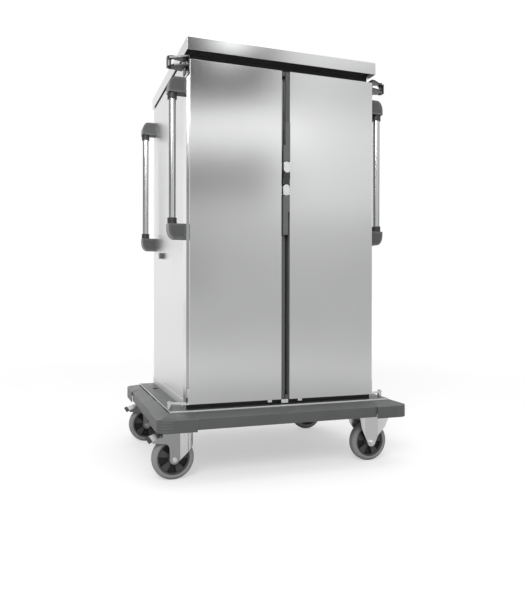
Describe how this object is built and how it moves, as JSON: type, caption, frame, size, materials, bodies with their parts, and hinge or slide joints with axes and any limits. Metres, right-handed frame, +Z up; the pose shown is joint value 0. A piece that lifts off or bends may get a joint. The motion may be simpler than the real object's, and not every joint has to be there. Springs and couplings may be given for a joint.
{
  "type": "enclosed meal tray cart",
  "caption": "Enclosed insulated cart with two hinged doors, inner tray runners, side push handles, a bumper deck, swivel and fixed castors",
  "frame": {"origin": "on the floor under the middle of the deck; the brake pedals make the box reach 9 mm further to the left", "axes": "+X to the right seen from the doors, +Y to the back, +Z up"},
  "size_m": [1.0523, 0.7258, 1.6279],
  "materials": {
    "cabinet_steel": "vertical brushed stainless sheet",
    "liner_steel": "matt inner stainless sheet",
    "fitting_steel": "satin stainless fittings",
    "tube_steel": "polished stainless tube",
    "zinc_steel": "zinc plated pressed steel",
    "chassis_paint": "dark grey powder coat",
    "bumper_plastic": "grained dark grey moulding",
    "handle_plastic": "grained dark grey moulding",
    "latch_plastic": "dark grey moulding",
    "edge_plastic": "dark grey edge profile",
    "black_plastic": "black moulding",
    "seal_rubber": "soft black seal",
    "foam_board": "pale insulation board",
    "tyre_grey": "grey non-marking rubber",
    "rim_black": "black moulded rim"
  },
  "bodies": {
    "cart": {"chassis_frame": "chassis_paint", "deck_plate": "bumper_plastic", "deck_edge_trim": "fitting_steel", "bumper_rails": "bumper_plastic", "bumper_corners": "bumper_plastic", "cabinet_floor": "liner_steel", "side_wall_left": "cabinet_steel", "side_wall_right": "cabinet_steel", "back_wall": "cabinet_steel", "wall_insulation": "foam_board", "inner_liner": "liner_steel", "front_frame": "cabinet_steel", "middle_partition": "liner_steel", "roof_cover": "cabinet_steel", "roof_plinth": "black_plastic", "ceiling_panel": "liner_steel", "tray_racks_left": "fitting_steel", "tray_racks_right": "fitting_steel", "handle_tubes": "tube_steel", "handle_elbows": "handle_plastic", "handle_screws": "zinc_steel", "door_catches": "handle_plastic", "sill_blocks": "fitting_steel", "hinge_brackets_top": "fitting_steel", "hinge_posts_bottom": "fitting_steel", "castor_plates": "zinc_steel", "fixed_forks": "zinc_steel", "fixed_axles": "zinc_steel", "castor_bolts": "zinc_steel"},
    "door_left": {"door_skin_left": "cabinet_steel", "door_liner_left": "liner_steel", "door_core_left": "foam_board", "door_seal_left": "seal_rubber", "door_edge_left": "edge_plastic", "door_hinges_left": "fitting_steel", "latch_base_left": "latch_plastic"},
    "door_right": {"door_skin_right": "cabinet_steel", "door_liner_right": "liner_steel", "door_core_right": "foam_board", "door_seal_right": "seal_rubber", "door_edge_right": "edge_plastic", "door_hinges_right": "fitting_steel", "latch_base_right": "latch_plastic"},
    "latch_upper": {"latch_hub_upper": "fitting_steel", "latch_grip_upper": "latch_plastic"},
    "latch_lower": {"latch_hub_lower": "fitting_steel", "latch_grip_lower": "latch_plastic"},
    "castor_front": {"swivel_fork_front": "zinc_steel"},
    "brake_front": {"brake_pedal_front": "zinc_steel"},
    "castor_rear": {"swivel_fork_rear": "zinc_steel"},
    "brake_rear": {"brake_pedal_rear": "zinc_steel"},
    "wheel_front_left": {"tyre_front_left": "tyre_grey", "rim_front_left": "rim_black"},
    "wheel_front_right": {"tyre_front_right": "tyre_grey", "rim_front_right": "rim_black"},
    "wheel_rear_left": {"tyre_rear_left": "tyre_grey", "rim_rear_left": "rim_black"},
    "wheel_rear_right": {"tyre_rear_right": "tyre_grey", "rim_rear_right": "rim_black"}
  },
  "joints": [
    {"name": "door_left_hinge", "type": "hinge", "parent": "cart", "child": "door_left", "pos_m": [-0.451, -0.262, 0.9], "axis": [0, 0, -1], "range_deg": [0, 270]},
    {"name": "door_right_hinge", "type": "hinge", "parent": "cart", "child": "door_right", "pos_m": [0.451, -0.262, 0.9], "axis": [0, 0, 1], "range_deg": [0, 270]},
    {"name": "latch_upper_turn", "type": "hinge", "parent": "door_right", "child": "latch_upper", "pos_m": [0.001, -0.307, 1.1666], "axis": [0, 1, 0], "range_deg": [0, 90]},
    {"name": "latch_lower_turn", "type": "hinge", "parent": "door_left", "child": "latch_lower", "pos_m": [-0.001, -0.307, 1.0954], "axis": [0, 1, 0], "range_deg": [0, 90]},
    {"name": "castor_front_swivel", "type": "hinge", "parent": "cart", "child": "castor_front", "pos_m": [-0.3947, -0.2605, 0.18], "axis": [0, 0, 1], "continuous": true},
    {"name": "brake_front_pedal", "type": "hinge", "parent": "castor_front", "child": "brake_front", "pos_m": [-0.4927, -0.2605, 0.156], "axis": [0, 1, 0], "range_deg": [0, 15]},
    {"name": "wheel_front_left_spin", "type": "hinge", "parent": "castor_front", "child": "wheel_front_left", "pos_m": [-0.4389, -0.2605, 0.08], "axis": [0, 1, 0], "continuous": true},
    {"name": "wheel_front_right_spin", "type": "hinge", "parent": "cart", "child": "wheel_front_right", "pos_m": [0.3947, -0.2605, 0.08], "axis": [0, 1, 0], "continuous": true},
    {"name": "castor_rear_swivel", "type": "hinge", "parent": "cart", "child": "castor_rear", "pos_m": [-0.3947, 0.2605, 0.18], "axis": [0, 0, 1], "continuous": true},
    {"name": "brake_rear_pedal", "type": "hinge", "parent": "castor_rear", "child": "brake_rear", "pos_m": [-0.4927, 0.2605, 0.156], "axis": [0, 1, 0], "range_deg": [0, 15]},
    {"name": "wheel_rear_left_spin", "type": "hinge", "parent": "castor_rear", "child": "wheel_rear_left", "pos_m": [-0.4389, 0.2605, 0.08], "axis": [0, 1, 0], "continuous": true},
    {"name": "wheel_rear_right_spin", "type": "hinge", "parent": "cart", "child": "wheel_rear_right", "pos_m": [0.3947, 0.2605, 0.08], "axis": [0, 1, 0], "continuous": true}
  ]
}
